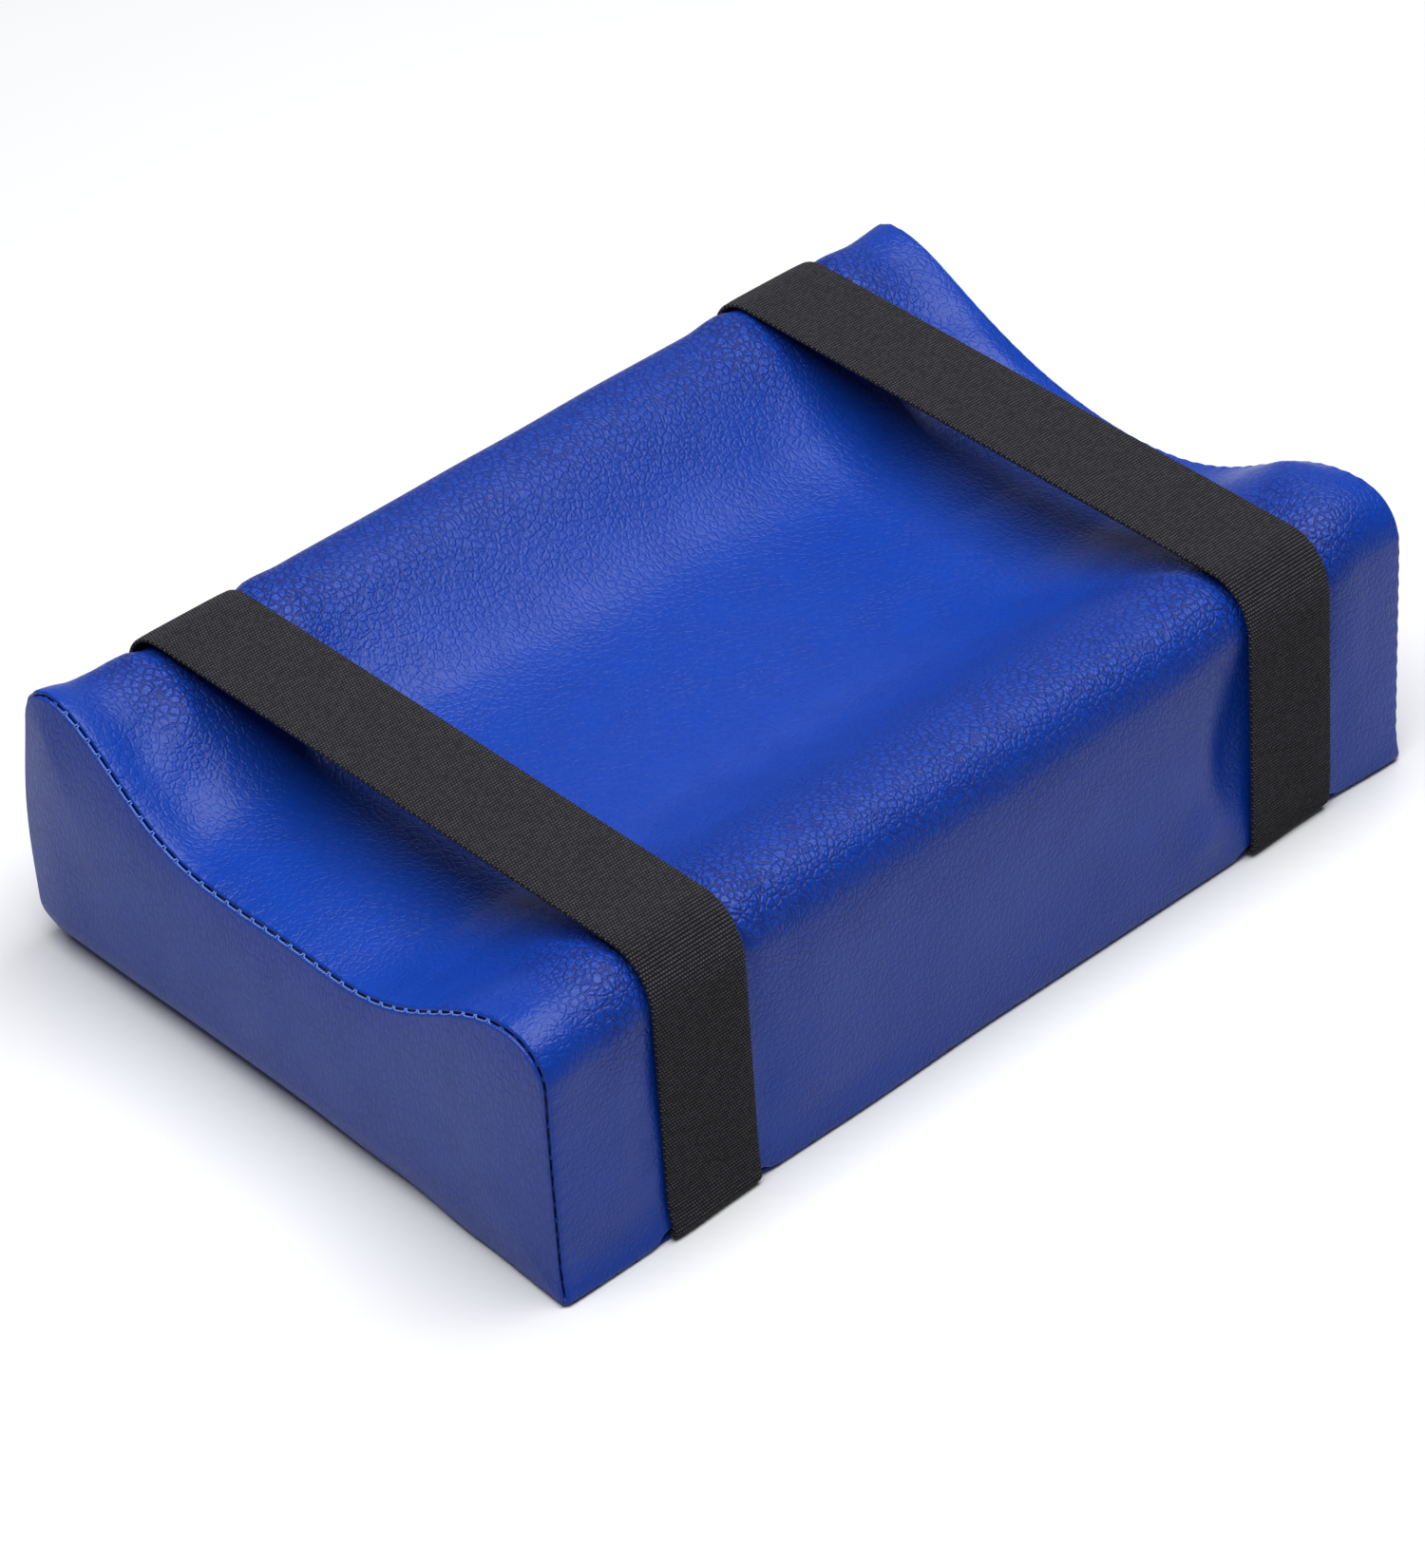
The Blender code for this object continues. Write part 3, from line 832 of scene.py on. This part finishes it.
def sewn_seam(name, corner_line, aside, inward, places, sunk=None):
    """Stitches at places along a corner line. aside points across the block's end, inward into the block."""
    lengths = run_length(corner_line)
    sunk = 0 * lengths if sunk is None else sunk
    guides = np.hstack([corner_line, aside, inward]).T
    points, faces = [], []
    for place in places:
        path = []
        for at, inset, depth in staple_path(place):
            spot = np.reshape([np.interp(at, lengths, values) for values in guides], (3, 3))
            down = np.interp(at, lengths, sunk)
            path.append(spot[0] + spot[1] * (inset + down) + spot[2] * (depth + down))
        more, skin = thread_stitch(path, THREAD_RADIUS)
        start = THREAD_SIDES * STITCH_POINTS * len(points)
        faces += [[start + i for i in face] for face in skin]
        points.append(more)
    return mesh_object(name, np.vstack(points), faces)


def end_seam(name, side):
    line = over_block(side * end_x)
    corner = np.column_stack([np.full(len(line), side * end_x), line])
    aside = np.tile([-side, 0, 0], (len(line), 1))
    inward = np.column_stack([0 * line[:, 0], -outward(line)])
    places = np.arange(6 * MM, run_length(corner)[-1] - 6 * MM, STITCH_PITCH)
    sunk = (0.1 + 0.8 * smooth((np.abs(over) - 0.9) / 0.15)) * MM
    return sewn_seam(name, corner, aside, inward, places, sunk)


end_seams = [end_seam("left_stitches", -1), end_seam("right_stitches", 1)]
print("an end seam has", len(end_seams[0].data.polygons), "faces of thread")

# %% Sew the base in
BASE_PITCH = 6 * MM


def base_seam(name):
    """Stitches all round the base, but not over the strap tails or round the corners."""
    ring = base_ring(0, 0)
    ring = np.vstack([ring, ring[:1]])
    run = np.gradient(ring, axis=0)
    inward = np.stack([-run[:, 1], run[:, 0], 0 * run[:, 0]], 1)
    inward /= np.linalg.norm(inward, axis=1)[:, None]
    lengths = run_length(ring)
    places = []
    for place in np.arange(BASE_PITCH, lengths[-1] - BASE_PITCH, BASE_PITCH):
        x, y = (np.interp(place, lengths, ring[:, k]) for k in (0, 1))
        by_strap = min(abs(x - middle) for middle in strap_x) < webbing_width / 2 + STITCH_PITCH
        at_corner = abs(x) > end_x - 3 * CORNER_RADIUS and abs(y) > face_y - 3 * CORNER_RADIUS
        if not at_corner and not (by_strap and abs(y) > face_y - CORNER_RADIUS):
            places.append(place)
    return sewn_seam(name, ring, np.tile([0, 0, 1], (len(ring), 1)), inward, places)


base_stitches = base_seam("base_stitches")
print("the base seam has", len(base_stitches.data.polygons), "faces of thread")

# %% [markdown]
# ## Leatherette
# Leatherette is a smooth vinyl skin with an embossed grain: rounded pebbles parted by thin cracks. Cells
# with a dark border are what a Voronoi texture gives from the distance to its edges. A coarse and a fine
# net are mixed by the pebble attribute, because the grain opens over a bend and flattens where the sheet
# is pulled tight. The base colour is painted darker in the cracks, as painted shade in the grain's hollows.

# %% Node helpers
def add_node(tree, kind, settings=None, **sockets):
    """A node with its settings and sockets set. A socket takes a value or another node's output."""
    made = tree.nodes.new(kind)
    for name, value in (settings or {}).items():
        setattr(made, name, value)
    for name, value in sockets.items():
        label = name.replace("_", " ")
        socket = made.inputs[int(label[3:])] if label.startswith("in ") else made.inputs[label]
        if isinstance(value, bpy.types.NodeSocket):
            tree.links.new(value, socket)
        else:
            socket.default_value = value
    return made


def start_material(name, roughness, specular=0.3):
    made = bpy.data.materials.new(name)
    made.use_nodes = True
    shader = made.node_tree.nodes["Principled BSDF"]
    shader.inputs["Roughness"].default_value = roughness
    shader.inputs["Specular IOR Level"].default_value = specular
    return made, made.node_tree, shader


def maths(tree, operation, first, second=0.0, clamp=False):
    settings = {"operation": operation, "use_clamp": clamp}
    return add_node(tree, "ShaderNodeMath", settings, in_0=first, in_1=second).outputs[0]


def blended(tree, share, first, second):
    """first where share is 0, second where it is 1."""
    made = add_node(tree, "ShaderNodeMix", {"data_type": "FLOAT"}, in_0=share, in_2=first, in_3=second)
    return made.outputs[0]


def coloured(tree, share, first, second):
    made = add_node(tree, "ShaderNodeMix", {"data_type": "RGBA"}, in_0=share, in_6=first, in_7=second)
    return made.outputs[2]


# %% Make the leatherette
COARSE_GRAIN, COARSE_CRACK = 2.1 * MM, 0.22
FINE_GRAIN, FINE_CRACK = 1.1 * MM, 0.36
FINE_SHARE = 0.3
FLAT_RELIEF = 0.16
GRAIN_SWAY = 0.0009
GRAIN_DEPTH = 0.00042
BLUE = (0.0022, 0.039, 0.320, 1)
# The darker blue is painted shade for the hollows of the grain's cracks.
BLUE_CRACK_SHADE = (0.0012, 0.012, 0.130, 1)


def grain_net(tree, place, size, edge):
    """Rounded cells parted by narrow cracks: 1 on a pebble, 0 in a crack."""
    cells = add_node(
        tree, "ShaderNodeTexVoronoi", {"feature": "DISTANCE_TO_EDGE"}, Vector=place, Scale=1 / size,
    )
    rounded = add_node(
        tree, "ShaderNodeMapRange", {"interpolation_type": "SMOOTHERSTEP"},
        Value=cells.outputs["Distance"], From_Min=0.0, From_Max=edge,
    )
    return rounded.outputs[0]


def leatherette(name, stretch=(1, 1, 1), roughness=0.33, bump=0.65, specular=0.24):
    made, tree, shader = start_material(name, roughness, specular)
    sheet = add_node(tree, "ShaderNodeAttribute", {"attribute_name": "sheet"}).outputs["Vector"]
    pebble = add_node(tree, "ShaderNodeAttribute", {"attribute_name": "pebble"}).outputs["Fac"]
    sway = add_node(tree, "ShaderNodeTexNoise", Vector=sheet, Scale=260.0, Detail=2.0).outputs["Color"]
    swayed = add_node(
        tree, "ShaderNodeVectorMath", {"operation": "MULTIPLY_ADD"},
        in_0=sway, in_1=(GRAIN_SWAY,) * 3, in_2=sheet,
    ).outputs[0]
    place = add_node(tree, "ShaderNodeVectorMath", {"operation": "MULTIPLY"}, in_0=swayed, in_1=stretch)
    coarse = grain_net(tree, place.outputs[0], COARSE_GRAIN, COARSE_CRACK)
    fine = grain_net(tree, place.outputs[0], FINE_GRAIN, FINE_CRACK)
    patches = add_node(tree, "ShaderNodeTexNoise", Vector=sheet, Scale=70.0, Detail=2.0).outputs["Fac"]
    share = maths(tree, "MULTIPLY_ADD", patches, 0.5)
    share.node.inputs[2].default_value = -0.25
    share = maths(tree, "ADD", pebble, share, clamp=True)
    both = blended(tree, FINE_SHARE, coarse, fine)
    flat = maths(tree, "MULTIPLY", both, FLAT_RELIEF)
    height = blended(tree, share, flat, both)
    relief = add_node(tree, "ShaderNodeBump", Height=height, Strength=bump, Distance=GRAIN_DEPTH)
    tree.links.new(relief.outputs[0], shader.inputs["Normal"])
    # Painted shade: the base colour is made darker in the cracks of the grain, where the relief is low.
    shaded_crack = maths(tree, "SUBTRACT", 1.0, height)
    shaded_crack = maths(tree, "MULTIPLY", shaded_crack, share, clamp=True)
    tree.links.new(coloured(tree, shaded_crack, BLUE, BLUE_CRACK_SHADE), shader.inputs["Base Color"])
    tree.links.new(blended(tree, shaded_crack, roughness, roughness + 0.2), shader.inputs["Roughness"])
    return made


cover.data.materials.append(leatherette("Cover leatherette"))
end_finish = leatherette("End leatherette", stretch=(1.5, 0.6, 1), roughness=0.42, bump=0.6, specular=0.45)
for panel in end_panels:
    panel.data.materials.append(end_finish)
base.data.materials.append(leatherette("Base leatherette", roughness=0.5))
print("leatherette on", [piece.name for piece in (cover, base, *end_panels)])

# %% [markdown]
# ## Webbing
# The ribs are already there as shape. The material adds what is smaller: each rib is a row of short
# threads, staggered from rib to rib like bricks. The base colour is painted near black in the grooves
# between the threads and ribs and lighter on their crowns, as painted shade and painted highlight, and each
# thread's tone also differs at random, which gives the charcoal flecks. Nylon has a faint dusty sheen.

# %% Make the webbing
WEFT_LENGTH = 0.85 * MM


def webbing(name):
    made, tree, shader = start_material(name, 0.7, 0.12)
    shader.inputs["Sheen Weight"].default_value = 0.03
    shader.inputs["Sheen Roughness"].default_value = 0.5
    weave = add_node(tree, "ShaderNodeAttribute", {"attribute_name": "weave"}).outputs["Vector"]
    parts = add_node(tree, "ShaderNodeSeparateXYZ", Vector=weave)
    across, gone = parts.outputs[0], parts.outputs[1]
    rib = maths(tree, "DIVIDE", gone, RIB_PITCH)
    odd = maths(tree, "MULTIPLY", maths(tree, "PINGPONG", maths(tree, "ROUND", rib), 1.0), 0.5)
    beside = maths(tree, "ADD", maths(tree, "DIVIDE", across, WEFT_LENGTH), odd)
    thread = maths(tree, "PINGPONG", beside, 0.5)
    thread = maths(tree, "SMOOTH_MIN", maths(tree, "MULTIPLY", thread, 4.0), 1.0)
    crown = maths(tree, "SUBTRACT", 1.0, maths(tree, "MULTIPLY", maths(tree, "PINGPONG", rib, 0.5), 2.0))
    which = maths(tree, "ROUND", beside)
    cell = add_node(tree, "ShaderNodeCombineXYZ", X=which, Y=maths(tree, "ROUND", rib)).outputs[0]
    noise = add_node(tree, "ShaderNodeTexWhiteNoise", {"noise_dimensions": "2D"}, Vector=cell)
    fleck = noise.outputs["Value"]
    height = maths(tree, "MULTIPLY", thread, crown)
    relief = add_node(tree, "ShaderNodeBump", Height=height, Strength=0.9, Distance=0.0004)
    tree.links.new(relief.outputs[0], shader.inputs["Normal"])
    # Painted shade and painted highlight: the colour follows the relief, near black in the grooves and
    # lighter on the crowns; each thread's tone also differs at random.
    shaded_tone = maths(tree, "MULTIPLY", maths(tree, "POWER", height, 1.6), blended(tree, fleck, 0.45, 1.0))
    shaded_tone = coloured(tree, shaded_tone, (0.003, 0.003, 0.004, 1), (0.100, 0.095, 0.115, 1))
    tree.links.new(shaded_tone, shader.inputs["Base Color"])
    return made


strap_finish = webbing("Webbing")
for piece in straps.values():
    piece.data.materials.append(strap_finish)
print("webbing on", [piece.name for piece in straps.values()])

# %% [markdown]
# ## Thread and foam
# Sewing thread is twisted, which shows as fine slanting lines with a silky shine. Its base colour is
# painted darker in the grooves of the twist and lighter on the ridges, as painted shade and painted
# highlight. Foam is a mass of open cells: a Voronoi texture again, this time through the whole solid, and
# its base colour is painted darker in the pits of the cells as painted shade.

# %% Make the thread and the foam
def sewing_thread(name):
    made, tree, shader = start_material(name, 0.45)
    place = add_node(tree, "ShaderNodeTexCoord").outputs["Object"]
    twist = add_node(
        tree, "ShaderNodeTexWave", {"bands_direction": "DIAGONAL"},
        Vector=place, Scale=700.0, Distortion=1.0,
    ).outputs["Fac"]
    relief = add_node(tree, "ShaderNodeBump", Height=twist, Strength=0.4, Distance=0.0001)
    tree.links.new(relief.outputs[0], shader.inputs["Normal"])
    # Painted shade and painted highlight: darker in the twist's grooves, lighter on its ridges.
    shaded_tone = coloured(tree, twist, (0.03, 0.09, 0.40, 1), (0.12, 0.24, 0.66, 1))
    tree.links.new(shaded_tone, shader.inputs["Base Color"])
    return made


def open_cell_foam(name):
    made, tree, shader = start_material(name, 0.95, 0.1)
    place = add_node(tree, "ShaderNodeTexCoord").outputs["Object"]
    cells = add_node(tree, "ShaderNodeTexVoronoi", Vector=place, Scale=900.0).outputs["Distance"]
    relief = add_node(tree, "ShaderNodeBump", {"invert": True}, Height=cells, Strength=0.7, Distance=0.0006)
    tree.links.new(relief.outputs[0], shader.inputs["Normal"])
    # Painted shade: the foam's colour is darker in the pits of the cells.
    shaded_tone = coloured(tree, cells, (0.82, 0.76, 0.55, 1), (0.55, 0.47, 0.28, 1))
    tree.links.new(shaded_tone, shader.inputs["Base Color"])
    return made


thread_finish = sewing_thread("Thread")
for piece in (*end_seams, base_stitches):
    piece.data.materials.append(thread_finish)
foam.data.materials.append(open_cell_foam("Foam"))
print("thread and foam are made")

# %% [markdown]
# ## Put each piece in the place of its node
# Each new piece except the straps rides on the pad body of the imported model, and the plain node in its
# place is hidden. A strap half keeps the place that it was built in, and the plain nodes of its leg and
# span are hidden.

# %% Tie the pieces to the frame
for piece, nodes, slot in (
    (cover, ["cover_wrap"], "cover_leatherette"),
    (end_panels[0], ["left_end_panel"], "end_leatherette"),
    (end_panels[1], ["right_end_panel"], "end_leatherette"),
    (base, ["base_panel"], "base_leatherette"),
    (foam, ["foam_core"], "foam"),
    (end_seams[0], ["left_end_thread"], "thread"),
    (end_seams[1], ["right_end_thread"], "thread"),
    (base_stitches, ["base_thread"], "thread"),
):
    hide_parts(*nodes)
    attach(piece, "pad")

for (strap, half_name), piece in straps.items():
    side = -1 if half_name == "front" else 1
    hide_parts(f"{strap}_strap_{half_name}_leg", f"{strap}_strap_span")
    middle = strap_x[strap == "right"]
    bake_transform(piece)

# %% [markdown]
# ## Floor, light and camera
# The block stands on a white, slightly glossy floor. One wide soft lamp above lights it evenly, and a dim
# card behind it draws a narrow highlight along the front ridge. The camera is long and far away, so the
# block's long edges stay nearly parallel.

# %% Set the stage
bpy.ops.mesh.primitive_plane_add(size=12, location=(0, 0, 0))
floor = bpy.context.object
floor.name = "floor"
floor_finish, floor_tree, floor_shader = start_material("White floor", 0.22, 0.5)
floor_shader.inputs["Base Color"].default_value = (0.75, 0.755, 0.77, 1)
floor.data.materials.append(floor_finish)

world = bpy.data.worlds.new("White room")
bpy.context.scene.world = world
world.use_nodes = True
surround = world.node_tree.nodes["Background"]
surround.inputs["Color"].default_value = (0.95, 0.97, 1.0, 1)
surround.inputs["Strength"].default_value = 0.12


def softbox(name, place, aim, size, power):
    light = bpy.data.lights.new(name, "AREA")
    light.shape = "RECTANGLE"
    light.size, light.size_y = size
    light.energy = power
    lamp = bpy.data.objects.new(name, light)
    lamp.location = place
    lamp.rotation_euler = (Vector(aim) - Vector(place)).to_track_quat("-Z", "Y").to_euler()
    bpy.context.scene.collection.objects.link(lamp)


softbox("Top softbox", (-0.05, -0.08, 1.15), (-0.05, -0.08, 0), (1.6, 0.85), 27)
softbox("Back card", (0.75, 1.05, 0.47), (0, 0, 0.06), (1.4, 0.30), 1.2)
print("one softbox, one card, and white surroundings")

# %% Place the camera
VIEW_AZIMUTH = math.radians(-44.37)
VIEW_ELEVATION = math.radians(37.80)
VIEW_DISTANCE = 1.5845
VIEW_AIM = Vector((0.00318, 0.01055, 0.01259))
LENS = 141.9

back = Vector((
    math.sin(VIEW_AZIMUTH) * math.cos(VIEW_ELEVATION),
    -math.cos(VIEW_AZIMUTH) * math.cos(VIEW_ELEVATION),
    math.sin(VIEW_ELEVATION),
))
camera_data = bpy.data.cameras.new("Camera")
camera_data.lens = LENS
camera = bpy.data.objects.new("Camera", camera_data)
camera.location = VIEW_AIM + back * VIEW_DISTANCE
camera.rotation_euler = back.to_track_quat("Z", "Y").to_euler()
bpy.context.scene.collection.objects.link(camera)
bpy.context.scene.camera = camera
bpy.context.scene.view_settings.view_transform = "Standard"
print("the camera is", round(VIEW_DISTANCE, 2), "m away")
